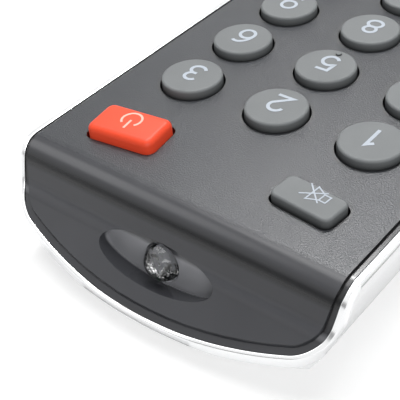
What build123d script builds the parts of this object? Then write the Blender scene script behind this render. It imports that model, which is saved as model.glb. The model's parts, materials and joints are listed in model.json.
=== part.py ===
from build123d import *
from functools import cache
from math import cos, pi, radians, sin, sqrt, tan
import os

# A television remote control, lying on its back on a table.
# Millimetres. +Y points to the nose with the infrared lamp, +X to the user's right when the
# digits read upright, +Z up. The origin lies on the table, under the middle of the case.

# Case
length = 190.0
width = 50.0
face_height = 14.4
end_bow = 70.0
rim_corner = 6.4
side_round = 12.0
tail_round = 5.0
nose_round = 12.0
nose_round_length = 7.1
nose_round_angle = 60.0
nose_round_bow = 40.0

# Face profile, seen from the side: flat, rolled over the edge, steep, then out to the nose
roll_setback = 10.5
roll_radius = 3.5
steep_angle = 70.0
steep_length = 2.4
hollow_radius = 5.0
shallow_angle = 42.0

# Walls, ledges and seams
wall = 1.5
face_wall = 1.8
skin = 1.15
seam = 0.1
ledge_drop = 0.4
ledge_width = 0.65
rim_width_side = 0.8
rim_width_end = 0.4
rim_drop = 0.2
rim_thickness = 1.0
border_corner = 5.6
lip_width = 1.2
lip_depth = 2.6

# Keys
key_proud = 1.15
power_key_proud = 1.6
key_travel = 0.75
press_gap = 0.05
key_clearance = 0.3
key_round = 0.35
collar_width = 0.7
collar_height = 0.4
collar_gap = 0.1
plunger_radius = 1.7
round_key_radius = 4.2
small_key_radius = 3.0
power_key_size = (10.0, 6.0)
mute_key_size = (8.7, 4.4)
colour_key_depth = 4.2
bar_corner = 1.0
petal_inner = 7.1
petal_outer = 11.7
petal_gap = 3.4
petal_corner = 0.8
dot_radius = 0.4
dot_height = 0.25
dot_behind = 3.2

# Key places: the row of 1, 2 and 3 lies digit_setback behind the nose, and the outermost key
# centres lie a margin in from the sides of the case
digit_setback = 30.1
row_pitch = 11.4
power_key_ahead = 13.4
power_key_turn = 7.5
mute_key_ahead = 12.9
mute_key_turn = -5.5
level_row_behind = 46.0
pad_centre_behind = 76.0
corner_key_y = 8.5
colour_row_behind = 94.5
column_margin = 11.0
power_key_margin = 11.7
mute_key_margin = 11.3
corner_key_margin = 8.0
colour_key_margin = 8.8
colour_key_gap = 3.4

# Keypad sheet and circuit board
sheet_gap = 0.2
sheet_thickness = 1.2
sheet_margin = 3.6
sheet_front_ahead = 18.8
sheet_back_behind = 98.2
sheet_hole_clearance = 0.2
board_thickness = 1.2
board_margin = 4.0
board_front_ahead = 19.2
board_end_gap = 0.4

# Infrared lamp and its scoop
lamp_radius = 2.5
lamp_body = 5.7
lamp_flange_radius = 2.9
lamp_flange = 1.0
lamp_depth = 7.6
lamp_tip_setback = 4.1
lamp_hole_clearance = 0.15
lamp_boss_radius = 4.5
lamp_boss_setback = 11.0
lamp_boss_length = 5.0
lead_size = 0.5
lead_pitch = 2.54
lead_run = 3.0
scoop_half_length = 8.8
scoop_half_height = 2.75
scoop_setback = 4.75
scoop_drop = 6.8
scoop_climb = 28.0
scoop_wall_setback = 6.2
scoop_wall_lean = 8.7
scoop_backing = 1.2

# Batteries and their bay
cell_radius = 5.25
cell_length = 44.5
cell_nub_radius = 1.9
cell_nub = 1.0
cell_rim = 0.3
cell_gap = 0.6
cell_clearance = 0.3
cell_end_play = 0.1
plate_thickness = 0.4
plate_size = 8.0
tab_width = 4.0
tab_overlap = 2.6
spring_length = 5.4
spring_turns = 3
spring_lead = 1.2
spring_foot_radius = 3.4
spring_tip_radius = 2.2
spring_wire = 0.5
bay_wall = 1.4
bay_half_width = 12.6
bay_rail_wall = 1.8
bay_tail_gap = 0.6

# Battery cover
cover_clearance = 0.2
cover_height = 6.4
rail_reach = 1.0
rail_height = 0.8
rail_clearance = 0.15
rail_foot = 1.0
latch_half_width = 2.5
latch_reach = 1.1
grip_count = 5
grip_length = 12.0
grip_width = 0.8
grip_depth = 0.4
grip_pitch = 1.8
grip_setback = 5.0

# Screws, bosses and pegs
screw_radius = 1.1
screw_head_radius = 2.1
screw_head_height = 1.3
screw_length = 7.2
screw_slot = 0.6
screw_sink = 3.2
screw_clearance = 0.2
boss_radius = 2.2
boss_drop = 9.0
boss_hole_clearance = 0.2
pilot_clearance = 0.05
post_radius = 3.5
post_gap = 0.1
front_boss_ahead = 6.6
back_boss_behind = 99.9
peg_radius = 1.6
peg_margin = 6.4
peg_behind = (12.0, 40.0, 68.0)

# Parts soldered under the board
chip_size = (7.6, 12.8, 2.2)
chip_behind = 22.0
chip_legs = 10
chip_leg_pitch = 1.27
chip_leg_width = 0.42
chip_leg_reach = 1.2
part_standoff = 1.5
resonator_size = (7.4, 3.2, 4.2)
resonator_behind = 37.0
capacitor_radius = 2.5
capacitor_length = 9.0
capacitor_x = 10.0
capacitor_behind = 50.0
transistor_radius = 2.2
transistor_length = 4.4
transistor_x = -6.6
transistor_behind = 4.0
resistor_size = (2.0, 1.25, 0.6)
resistor_count = 6
resistor_pitch = 3.4
resistor_x = -9.5
resistor_behind = 44.0

# Places worked out from the sizes above
nose_y = length / 2
tail_y = -length / 2
digit_y = nose_y - digit_setback
column_pitch = width / 2 - column_margin
power_key_x = width / 2 - power_key_margin
mute_key_x = mute_key_margin - width / 2
corner_key_x = width / 2 - corner_key_margin
colour_pitch = (width / 2 - colour_key_margin) / 1.5
bar_sizes = {"power": power_key_size, "mute": mute_key_size,
             "colour": (colour_pitch - colour_key_gap, colour_key_depth)}
sheet_half_width = width / 2 - sheet_margin
board_half_width = width / 2 - board_margin
peg_x = width / 2 - peg_margin
roll_y = nose_y - roll_setback
border_y = nose_y - rim_width_end
board_top = face_height - face_wall - sheet_gap - sheet_thickness
board_bottom = board_top - board_thickness
board_front = digit_y + board_front_ahead
lamp_z = face_height - lamp_depth
lamp_tip_y = nose_y - lamp_tip_setback
lip_bottom = face_height - lip_depth
scoop_wall_y = nose_y - scoop_wall_setback
lamp_boss_y = nose_y - lamp_boss_setback
lamp_hole_radius = lamp_radius + lamp_hole_clearance
cell_x = cell_radius + cell_gap / 2
cell_z = face_height - face_wall - cell_clearance - cell_radius
bay_back = tail_y + wall + bay_tail_gap + bay_wall
bay_length = 2 * plate_thickness + spring_length + cell_length + cell_end_play
bay_front = bay_back + bay_length
bay_top = lip_bottom - cell_clearance
board_back = bay_front + bay_wall + board_end_gap
cover_front = bay_front - cover_clearance

steep = radians(steep_angle)
shallow = radians(shallow_angle)
hollow_end_y = (roll_y + roll_radius * sin(steep) + steep_length * cos(steep)
                + hollow_radius * (sin(steep) - sin(shallow)))
hollow_end_z = (face_height - roll_radius * (1 - cos(steep)) - steep_length * sin(steep)
                - hollow_radius * (cos(shallow) - cos(steep)))
nose_lip_z = hollow_end_z - (border_y - hollow_end_y) * tan(shallow)


def outline(side_inset, end_inset, corner):
    """Plan shape of the case: straight sides, bowed ends and round corners."""
    half = width / 2 - side_inset
    end = length / 2 - end_inset
    shoulder = end - end_bow + sqrt(end_bow ** 2 - half ** 2)
    with BuildSketch() as plan:
        with BuildLine():
            ThreePointArc((-half, shoulder), (0, end), (half, shoulder))
            Line((half, shoulder), (half, -shoulder))
            ThreePointArc((half, -shoulder), (0, -end), (-half, -shoulder))
            Line((-half, -shoulder), (-half, shoulder))
        make_face()
        fillet(plan.vertices(), corner)
    return plan.sketch


@cache
def under_face(depth):
    """Everything below the face profile, with the profile sunk square to itself by depth."""
    beyond = 5.0
    with BuildPart() as block:
        with BuildSketch(Plane.YZ):
            with BuildLine():
                flat = Line((tail_y - beyond, face_height - depth), (roll_y, face_height - depth))
                roll = JernArc(flat @ 1, flat % 1, roll_radius - depth, -steep_angle)
                drop = Line(roll @ 1, roll @ 1 + (roll % 1) * steep_length)
                hollow = JernArc(drop @ 1, drop % 1, hollow_radius + depth,
                                 steep_angle - shallow_angle)
                lip_end = (border_y - depth * tan(shallow / 2), nose_lip_z - depth)
                slope = Line(hollow @ 1, lip_end)
                Polyline(slope @ 1, (nose_y + beyond, nose_lip_z - depth),
                         (nose_y + beyond, -beyond), (tail_y - beyond, -beyond), flat @ 0)
            make_face()
        extrude(amount=width, both=True)
    return block.part


def crown(side_inset, end_inset, corner, depth):
    """Everything inside a plan outline and under the face profile."""
    with BuildPart() as block:
        with BuildSketch():
            add(outline(side_inset, end_inset, corner))
        extrude(amount=face_height)
        add(under_face(depth), mode=Mode.INTERSECT)
    return block.part


def above_belly(inset):
    """Everything above the underside, which is rounded up at the tail and like a bowl at the nose."""
    centre = nose_y - nose_round_bow
    with BuildPart() as space:
        with BuildSketch(Plane.YZ):
            with BuildLine():
                belly = Line((tail_y + tail_round, inset), (centre, inset))
                tail_arc = JernArc(belly @ 0, (-1, 0), tail_round - inset, -90)
                Polyline(belly @ 1, (centre, face_height), (tail_y + inset, face_height),
                         tail_arc @ 1)
            make_face()
        extrude(amount=width, both=True)
        with BuildSketch(Plane.YZ):
            with BuildLine():
                bowl = Line((centre, inset), (nose_y - nose_round_length, inset))
                rise = JernArc(bowl @ 1, bowl % 1, nose_round - inset, nose_round_angle)
                Polyline(rise @ 1, ((rise @ 1).X, face_height), (centre, face_height), bowl @ 0)
            make_face()
        revolve(axis=Axis((0, centre, 0), (0, 0, 1)))
    return space.part


@cache
def lower_form(inset):
    """The rounded underside of the case, shrunk by inset on every side but the top."""
    with BuildPart() as form:
        with BuildSketch():
            add(outline(inset, inset, rim_corner - inset))
        extrude(amount=face_height)
        with BuildSketch(Plane.XZ) as section:
            with Locations((0, inset)):
                Rectangle(width - 2 * inset, face_height, align=(Align.CENTER, Align.MIN))
            fillet(section.vertices().group_by(Axis.Y)[0], side_round - inset)
        extrude(amount=length, both=True, mode=Mode.INTERSECT)
        add(above_belly(inset), mode=Mode.INTERSECT)
    return form.part


def slab(x_range, y_range, z_range):
    """A plain block between two corners, kept to itself for cutting and joining."""
    size = [b - a for a, b in (x_range, y_range, z_range)]
    middle = [(a + b) / 2 for a, b in (x_range, y_range, z_range)]
    return Pos(*middle) * Box(*size, mode=Mode.PRIVATE)


def key_outline(kind, growth):
    """The outline of one key around its own centre, grown by growth."""
    with BuildSketch() as face:
        if kind in ("round", "dotted"):
            Circle(round_key_radius + growth)
        elif kind == "small":
            Circle(small_key_radius + growth)
        elif kind in bar_sizes:
            across, along = bar_sizes[kind]
            RectangleRounded(across + 2 * growth, along + 2 * growth, bar_corner + growth)
        else:
            tip = sqrt(2) * (petal_gap / 2 - growth)
            reach = 2 * petal_outer
            Circle(petal_outer + growth)
            Circle(petal_inner - growth, mode=Mode.SUBTRACT)
            Polygon((tip, 0), (tip + reach, reach), (tip + reach, -reach), align=None,
                    mode=Mode.INTERSECT)
            fillet(face.vertices(), petal_corner)
    return face.sketch


# Every key: name, outline, place and turn
keys = [("power_key", "power", power_key_x, digit_y + power_key_ahead, power_key_turn),
        ("mute_key", "mute", mute_key_x, digit_y + mute_key_ahead, mute_key_turn)]
for index in range(9):
    row, column = divmod(index, 3)
    outline_kind = "dotted" if index == 4 else "round"
    keys.append((f"digit_{index + 1}_key", outline_kind, (column - 1) * column_pitch,
                 digit_y - row * row_pitch, 0))
last_digit_y = digit_y - 3 * row_pitch
level_y = digit_y - level_row_behind
pad_y = digit_y - pad_centre_behind
colour_y = digit_y - colour_row_behind
keys += [("info_key", "round", -column_pitch, last_digit_y, 0),
         ("digit_0_key", "round", 0, last_digit_y, 0),
         ("source_key", "round", column_pitch, last_digit_y, 0),
         ("volume_up_key", "round", -column_pitch, level_y, 0),
         ("volume_down_key", "round", -column_pitch, level_y - row_pitch, 0),
         ("list_key", "round", 0, level_y, 0),
         ("picture_key", "round", 0, level_y - row_pitch, 0),
         ("channel_up_key", "round", column_pitch, level_y, 0),
         ("channel_down_key", "round", column_pitch, level_y - row_pitch, 0),
         ("ok_key", "round", 0, pad_y, 0),
         ("right_key", "petal", 0, pad_y, 0),
         ("up_key", "petal", 0, pad_y, 90),
         ("left_key", "petal", 0, pad_y, 180),
         ("down_key", "petal", 0, pad_y, 270),
         ("menu_key", "small", -corner_key_x, pad_y + corner_key_y, 0),
         ("home_key", "small", corner_key_x, pad_y + corner_key_y, 0),
         ("back_key", "small", -corner_key_x, pad_y - corner_key_y, 0),
         ("exit_key", "small", corner_key_x, pad_y - corner_key_y, 0)]
for index, colour in enumerate(("red", "green", "yellow", "blue")):
    keys.append((f"{colour}_key", "colour", (index - 1.5) * colour_pitch, colour_y, 0))


def key_places(growth):
    """All key outlines in their places, for the holes that the keys pass through."""
    with BuildSketch() as holes:
        for name, kind, x, y, turn in keys:
            with Locations(Location((x, y, 0), (0, 0, turn))):
                add(key_outline(kind, growth))
    return holes.sketch


front_bosses = [(side * column_pitch / 2, digit_y + front_boss_ahead) for side in (-1, 1)]
back_bosses = [(side * colour_pitch, digit_y - back_boss_behind) for side in (-1, 1)]
bosses = front_bosses + back_bosses
pegs = [(side * peg_x, digit_y - behind) for side in (-1, 1) for behind in peg_behind]
pieces = {}


# Top shell: a thin face with a stiffening layer and a lip that drops inside the bottom shell
def stiffening_layer():
    with BuildPart() as layer:
        add(lower_form(wall + seam))
        add(under_face(skin), mode=Mode.INTERSECT)
        add(under_face(face_wall), mode=Mode.SUBTRACT)
    return layer.part


def top_lip():
    with BuildPart() as lip:
        add(lower_form(wall + seam))
        add(lower_form(wall + seam + lip_width), mode=Mode.SUBTRACT)
        add(slab((-width, width), (tail_y, roll_y), (lip_bottom, face_height - skin)),
            mode=Mode.INTERSECT)
    return lip.part


def lamp_boss():
    with BuildPart() as boss:
        with BuildSketch(Plane.XZ.offset(-lamp_boss_y)):
            with Locations((0, lamp_z)):
                Circle(lamp_boss_radius)
        extrude(amount=-lamp_boss_length)
        add(under_face(skin), mode=Mode.INTERSECT)
    return boss.part


def scoop_space(growth):
    """The hollow round the lamp: an oval mouth that ends at a leaning wall, grown by growth."""
    climb = radians(scoop_climb)
    lean = tan(radians(scoop_wall_lean))
    wall_y = scoop_wall_y - growth
    mouth = Plane((0, nose_y - scoop_setback, face_height - scoop_drop), x_dir=(1, 0, 0),
                  z_dir=(0, cos(climb), sin(climb)))
    with BuildPart() as space:
        with BuildSketch(mouth):
            Ellipse(scoop_half_length + growth, scoop_half_height + growth)
        extrude(amount=face_height, both=True)
        with BuildSketch(Plane.YZ):
            Polygon((wall_y + lamp_z * lean, 0), (nose_y + face_height, 0),
                    (nose_y + face_height, 2 * face_height),
                    (wall_y + (lamp_z - 2 * face_height) * lean, 2 * face_height), align=None)
        extrude(amount=width / 2, both=True, mode=Mode.INTERSECT)
    return space.part


def scoop_pad():
    """The thicker wall behind the scoop."""
    with BuildPart() as pad:
        add(scoop_space(scoop_backing))
        add(under_face(skin), mode=Mode.INTERSECT)
        add(lower_form(wall + seam), mode=Mode.INTERSECT)
    return pad.part


with BuildPart() as top_shell:
    add(crown(rim_width_side + seam, rim_width_end + seam, border_corner - seam, ledge_drop))
    add(crown(rim_width_side + seam + ledge_width, rim_width_end + seam + ledge_width,
              border_corner - seam - ledge_width, 0))
    add(under_face(skin), mode=Mode.SUBTRACT)
    add(stiffening_layer())
    add(top_lip())
    add(lamp_boss())
    with BuildSketch(Plane.XY.offset(face_height - skin)):
        with Locations(*bosses):
            Circle(boss_radius)
    extrude(amount=skin - boss_drop)
    with BuildSketch(Plane.XY.offset(face_height - boss_drop)):
        with Locations(*bosses):
            Circle(screw_radius + pilot_clearance)
    extrude(amount=boss_drop - face_wall, mode=Mode.SUBTRACT)
    add(scoop_pad())
    add(scoop_space(0), mode=Mode.SUBTRACT)
    hole_front = scoop_wall_y + lamp_hole_radius * tan(radians(scoop_wall_lean))
    with BuildSketch(Plane.XZ.offset(-hole_front)):
        with Locations((0, lamp_z)):
            Circle(lamp_hole_radius)
    extrude(amount=hole_front - lamp_boss_y, mode=Mode.SUBTRACT)
    with BuildSketch(Plane.XY.offset(face_height)):
        add(key_places(key_clearance))
    extrude(amount=-face_wall, mode=Mode.SUBTRACT)
pieces["top_shell"] = top_shell

# Chrome trim: the bright ring between the two shells, all the way round
with BuildPart() as chrome_trim:
    add(crown(0, 0, rim_corner, rim_drop))
    add(under_face(rim_drop + rim_thickness), mode=Mode.SUBTRACT)
    with BuildSketch():
        add(outline(rim_width_side, rim_width_end, border_corner))
    extrude(amount=face_height, mode=Mode.SUBTRACT)
    add(lower_form(0), mode=Mode.INTERSECT)
pieces["chrome_trim"] = chrome_trim


# Bottom shell: a rounded tray with the battery bay, screw posts and board pegs
def bay_walls():
    outer = bay_half_width + bay_rail_wall
    with BuildPart() as walls:
        for side in (-1, 1):
            edges = sorted((side * bay_half_width, side * outer))
            add(slab(edges, (bay_back - bay_wall, bay_front + bay_wall), (0, bay_top)))
        add(slab((-outer, outer), (bay_front, bay_front + bay_wall), (0, board_top)))
        add(lower_form(wall / 2), mode=Mode.INTERSECT)
    return walls.part


def bay_end_wall():
    """The wall behind the batteries, cut to clear the curved end of the cover."""
    with BuildPart() as end_wall:
        add(slab((-bay_half_width, bay_half_width), (bay_back - bay_wall, bay_back), (0, bay_top)))
        add(lower_form(wall + rail_clearance), mode=Mode.INTERSECT)
    return end_wall.part


def standing(places, radius, top):
    """Round pegs that stand on the floor of the bottom shell."""
    with BuildPart() as stand:
        with BuildSketch():
            with Locations(*places):
                Circle(radius)
        extrude(amount=top)
        add(lower_form(wall / 2), mode=Mode.INTERSECT)
    return stand.part


rail_bottom = wall + rail_clearance
rail_top = rail_bottom + rail_height
groove_top = rail_top + rail_clearance
groove_half_width = bay_half_width + rail_reach
with BuildPart() as bottom_shell:
    add(lower_form(0))
    add(under_face(rim_drop + rim_thickness), mode=Mode.INTERSECT)
    add(lower_form(wall), mode=Mode.SUBTRACT)
    add(slab((-bay_half_width, bay_half_width), (tail_y - 1, bay_front), (-1, cover_height)),
        mode=Mode.SUBTRACT)
    add(bay_walls())
    add(bay_end_wall())
    add(standing(pegs, peg_radius, board_bottom))
    add(standing(bosses, post_radius, face_height - boss_drop - post_gap))
    # The grooves for the cover's rails and the slot for its latch
    add(slab((-groove_half_width, groove_half_width), (tail_y - 1, bay_front),
             (wall, groove_top)), mode=Mode.SUBTRACT)
    add(slab((-latch_half_width - cover_clearance, latch_half_width + cover_clearance),
             (bay_front - 1, bay_front + bay_wall), (wall, groove_top)), mode=Mode.SUBTRACT)
    with BuildSketch():
        with Locations(*bosses):
            Circle(screw_head_radius + screw_clearance)
    extrude(amount=screw_sink, mode=Mode.SUBTRACT)
    with BuildSketch():
        with Locations(*bosses):
            Circle(screw_radius + screw_clearance)
    extrude(amount=face_height - boss_drop, mode=Mode.SUBTRACT)
pieces["bottom_shell"] = bottom_shell

# Battery cover: a slice of the underside with rails, a latch tongue and thumb grips
with BuildPart() as battery_cover:
    half = bay_half_width - cover_clearance
    add(lower_form(0))
    add(lower_form(wall), mode=Mode.SUBTRACT)
    add(slab((-half, half), (tail_y, cover_front), (0, cover_height - cover_clearance)),
        mode=Mode.INTERSECT)
    for side in (-1, 1):
        foot = sorted((side * (half - rail_foot), side * half))
        reach = sorted((side * (half - rail_foot), side * (groove_half_width - cover_clearance)))
        ends = (tail_y + tail_round, cover_front - rail_foot)
        add(slab(foot, ends, (wall, rail_top)))
        add(slab(reach, ends, (rail_bottom, rail_top)))
    add(slab((-latch_half_width, latch_half_width), (cover_front - rail_foot, cover_front),
             (wall, rail_top)))
    add(slab((-latch_half_width, latch_half_width), (cover_front - rail_foot,
             bay_front + latch_reach), (rail_bottom, rail_top)))
    with BuildSketch():
        with Locations((0, cover_front - grip_setback)):
            with GridLocations(grip_pitch, grip_pitch, 1, grip_count):
                SlotOverall(grip_length, grip_width)
    extrude(amount=grip_depth, mode=Mode.SUBTRACT)
pieces["battery_cover"] = battery_cover


# Keypad sheet: the rubber mat that lies on the board, open round every key
with BuildPart() as keypad_sheet:
    with BuildSketch(Plane.XY.offset(board_top)):
        front = digit_y + sheet_front_ahead
        back = digit_y - sheet_back_behind
        with Locations((0, (front + back) / 2)):
            RectangleRounded(2 * sheet_half_width, front - back, bar_corner)
        add(key_places(collar_width + sheet_hole_clearance), mode=Mode.SUBTRACT)
        with Locations(*bosses):
            Circle(boss_radius + boss_hole_clearance, mode=Mode.SUBTRACT)
    extrude(amount=sheet_thickness)
pieces["keypad_sheet"] = keypad_sheet

# Circuit board: it stands on the pegs, with the keypad sheet on top
with BuildPart() as circuit_board:
    with BuildSketch(Plane.XY.offset(board_bottom)):
        with Locations((0, (board_front + board_back) / 2)):
            RectangleRounded(2 * board_half_width, board_front - board_back, bar_corner)
        with Locations(*bosses):
            Circle(boss_radius + boss_hole_clearance, mode=Mode.SUBTRACT)
    extrude(amount=board_thickness)
pieces["circuit_board"] = circuit_board

# Infrared lamp: a clear domed lamp that looks out of the nose, on two bent leads
lamp_back_y = lamp_tip_y - lamp_radius - lamp_body
with BuildPart() as infrared_lamp:
    with BuildSketch(Plane.XY.offset(lamp_z)):
        with BuildLine():
            Polyline((0, lamp_back_y), (lamp_flange_radius, lamp_back_y),
                     (lamp_flange_radius, lamp_back_y + lamp_flange),
                     (lamp_radius, lamp_back_y + lamp_flange),
                     (lamp_radius, lamp_tip_y - lamp_radius))
            RadiusArc((lamp_radius, lamp_tip_y - lamp_radius), (0, lamp_tip_y), -lamp_radius)
            Line((0, lamp_tip_y), (0, lamp_back_y))
        make_face()
    revolve(axis=Axis((0, 0, lamp_z), (0, 1, 0)))
    for side in (-1, 1):
        x_range = (side * lead_pitch / 2 - lead_size / 2, side * lead_pitch / 2 + lead_size / 2)
        bend_y = lamp_back_y - lead_run
        add(slab(x_range, (bend_y, lamp_back_y), (lamp_z - lead_size / 2, lamp_z + lead_size / 2)))
        add(slab(x_range, (bend_y, bend_y + lead_size), (lamp_z - lead_size / 2, board_bottom)))
pieces["infrared_lamp"] = infrared_lamp

# Controller chip: a flat body with a row of bent legs along both sides
chip_y = digit_y - chip_behind
chip_gap = 0.1
chip_bottom = board_bottom - chip_gap - chip_size[2]
leg_thickness = 0.2
leg_z = chip_bottom + chip_size[2] / 2
with BuildPart() as chip_leg:
    inner = chip_size[0] / 2
    bend = inner + chip_leg_reach / 2
    half = chip_leg_width / 2
    add(slab((inner - leg_thickness, bend), (-half, half), (leg_z, leg_z + leg_thickness)))
    add(slab((bend - leg_thickness, bend), (-half, half), (leg_z, board_bottom)))
    add(slab((bend - leg_thickness, inner + chip_leg_reach), (-half, half),
             (board_bottom - leg_thickness, board_bottom)))
with BuildPart() as controller_chip:
    add(slab((-chip_size[0] / 2, chip_size[0] / 2),
             (chip_y - chip_size[1] / 2, chip_y + chip_size[1] / 2),
             (chip_bottom, chip_bottom + chip_size[2])))
    for turn in (0, 180):
        for step in range(chip_legs):
            along = chip_y + (step - (chip_legs - 1) / 2) * chip_leg_pitch
            with Locations(Location((0, along, 0), (0, 0, turn))):
                add(chip_leg.part)
pieces["controller_chip"] = controller_chip


def lead(x, y, bottom, top):
    """A square wire that stands between two heights."""
    half = lead_size / 2
    return slab((x - half, x + half), (y - half, y + half), (bottom, top))


# Ceramic resonator: it hangs under the board on three leads
resonator_y = digit_y - resonator_behind
with BuildPart() as ceramic_resonator:
    resonator_top = board_bottom - part_standoff
    with BuildSketch(Plane.XY.offset(resonator_top)):
        with Locations((0, resonator_y)):
            RectangleRounded(resonator_size[0], resonator_size[1], resonator_size[1] / 3)
    extrude(amount=-resonator_size[2])
    for step in (-1, 0, 1):
        add(lead(step * lead_pitch, resonator_y, resonator_top, board_bottom))
pieces["ceramic_resonator"] = ceramic_resonator

# Filter capacitor: a can that lies under the board, with its two leads bent up
capacitor_y = digit_y - capacitor_behind
capacitor_z = board_bottom - chip_gap - capacitor_radius
with BuildPart() as filter_capacitor:
    with BuildSketch(Plane.XZ.offset(-capacitor_y)):
        with Locations((capacitor_x, capacitor_z)):
            Circle(capacitor_radius)
    extrude(amount=capacitor_length)
    for side in (-1, 1):
        lead_x = capacitor_x + side * lead_pitch / 2
        x_range = (lead_x - lead_size / 2, lead_x + lead_size / 2)
        add(slab(x_range, (capacitor_y, capacitor_y + lead_run / 2),
                 (capacitor_z - lead_size / 2, capacitor_z + lead_size / 2)))
        add(slab(x_range, (capacitor_y + lead_run / 2 - lead_size, capacitor_y + lead_run / 2),
                 (capacitor_z - lead_size / 2, board_bottom)))
pieces["filter_capacitor"] = filter_capacitor

# Lamp driver transistor: a half-round body on three leads
transistor_y = digit_y - transistor_behind
with BuildPart() as driver_transistor:
    transistor_top = board_bottom - part_standoff
    with BuildSketch(Plane.XY.offset(transistor_top)):
        with Locations((transistor_x, transistor_y)):
            Circle(transistor_radius)
        with Locations((transistor_x, transistor_y - transistor_radius)):
            Rectangle(3 * transistor_radius, transistor_radius, mode=Mode.SUBTRACT)
    extrude(amount=-transistor_length)
    for step in (-1, 0, 1):
        add(lead(transistor_x + step * lead_pitch / 2, transistor_y, transistor_top, board_bottom))
pieces["driver_transistor"] = driver_transistor

# Chip resistors: a row of small blocks soldered flat under the board
with BuildPart() as chip_resistors:
    with BuildSketch(Plane.XY.offset(board_bottom)):
        with Locations((resistor_x, digit_y - resistor_behind)):
            with GridLocations(resistor_pitch, resistor_pitch, 1, resistor_count):
                Rectangle(resistor_size[0], resistor_size[1])
    extrude(amount=-resistor_size[2])
pieces["chip_resistors"] = chip_resistors


# Batteries: two small round cells side by side, facing opposite ways
def cell(x, negative_y, direction):
    """A cell on its side: a can with a rim at the flat end and a nub at the other."""
    shoulder = cell_length - cell_nub
    with BuildPart() as can:
        with BuildSketch(Plane((x, negative_y, cell_z), x_dir=(1, 0, 0), z_dir=(0, 0, 1))):
            with BuildLine():
                Polyline((0, 0), (cell_radius - cell_rim, 0),
                         (cell_radius, direction * cell_rim),
                         (cell_radius, direction * (shoulder - cell_rim)),
                         (cell_radius - cell_rim, direction * shoulder),
                         (cell_nub_radius, direction * shoulder),
                         (cell_nub_radius, direction * cell_length),
                         (0, direction * cell_length), (0, 0))
            make_face()
        revolve(axis=Axis((x, negative_y, cell_z), (0, 1, 0)))
    return can


first_cell_y = bay_back + plate_thickness + spring_length
second_cell_y = bay_front - plate_thickness - spring_length
pieces["battery_a"] = cell(-cell_x, first_cell_y, 1)
pieces["battery_b"] = cell(cell_x, second_cell_y, -1)


def biarc(start, start_way, end, end_way):
    """Two arcs that leave start along start_way and reach end along end_way."""
    chord = end - start
    ways = start_way + end_way
    spare = 2 * (1 - start_way.dot(end_way))
    along = chord.dot(ways)
    reach = (sqrt(along ** 2 + spare * chord.dot(chord)) - along) / spare
    middle = (start + end + (start_way - end_way) * reach) * 0.5
    return [Edge.make_tangent_arc(start, start_way, middle),
            Edge.make_tangent_arc(end, end_way * -1, middle)]


def spring(x, foot_y, direction):
    """A cone of wire from its foot on the contact plate to its tip on the cell."""
    half_turns = 2 * spring_turns
    rise = spring_length - 2 * spring_lead
    points = []
    ways = []
    for step in range(half_turns + 1):
        share = step / half_turns
        radius = spring_foot_radius + share * (spring_tip_radius - spring_foot_radius)
        angle = step * pi
        points.append(Vector(x + radius * cos(angle),
                             foot_y + direction * (spring_lead + share * rise),
                             cell_z + radius * sin(angle)))
        shrink = (spring_tip_radius - spring_foot_radius) / (half_turns * pi)
        ways.append(Vector(shrink * cos(angle) - radius * sin(angle),
                           direction * rise / (half_turns * pi),
                           shrink * sin(angle) + radius * cos(angle)).normalized())
    out = Vector(0, direction, 0)
    ends = []
    for point, way, turn_back in ((points[0], ways[0], -1), (points[-1], ways[-1], 1)):
        bend = out * (turn_back * (spring_lead - spring_wire))
        ends.append(point + bend + way * (turn_back * (spring_lead - spring_wire)))
    foot = Vector(ends[0].X, foot_y, ends[0].Z)
    tip = Vector(ends[1].X, foot_y + direction * spring_length, ends[1].Z)
    edges = [Edge.make_line(foot, ends[0]), *biarc(ends[0], out, points[0], ways[0])]
    for step in range(half_turns):
        edges += biarc(points[step], ways[step], points[step + 1], ways[step + 1])
    edges += [*biarc(points[-1], ways[-1], ends[1], out), Edge.make_line(ends[1], tip)]
    path = Wire(edges)
    return Solid.sweep(Face(Wire.make_circle(spring_wire / 2, Plane(foot, z_dir=out))), path), path


def least_gap(path):
    """The least distance from the wire's surface to its own next turn."""
    steps = 400
    points = [path @ (index / steps) for index in range(steps + 1)]
    apart = int(steps * 0.6 / (spring_turns + 1))
    return min((points[a] - points[b]).length for a in range(steps + 1)
               for b in range(a + apart, steps + 1)) - spring_wire


def contact_plate(x_range, y_range, top):
    return slab(x_range, y_range, (cell_z - plate_size / 2, top))


def board_tab(x):
    """The strip that runs from a contact plate over the bay wall onto the board."""
    return slab((x - tab_width / 2, x + tab_width / 2),
                (bay_front - plate_thickness, board_back + tab_overlap),
                (board_top, board_top + plate_thickness))


def front_plate(x):
    """A contact plate with its tab, standing against the front wall of the bay."""
    half = plate_size / 2
    with BuildPart() as plate:
        add(contact_plate((x - half, x + half), (bay_front - plate_thickness, bay_front),
                          board_top + plate_thickness))
        add(board_tab(x))
    return plate


pieces["positive_contact"] = front_plate(-cell_x)

spring_b, path_b = spring(cell_x, bay_front - plate_thickness, -1)
negative_plate = front_plate(cell_x)
with BuildPart() as negative_contact:
    add(negative_plate.part)
    add(spring_b)
pieces["negative_contact"] = negative_contact

spring_a, path_a = spring(-cell_x, bay_back + plate_thickness, 1)
with BuildPart() as link_contact:
    reach = cell_x + plate_size / 2
    add(contact_plate((-reach, reach), (bay_back, bay_back + plate_thickness),
                      cell_z + plate_size / 2))
    add(spring_a)
pieces["link_contact"] = link_contact
print("least gap between the turns of a spring:", round(min(least_gap(path_a),
                                                            least_gap(path_b)), 2))

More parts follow.
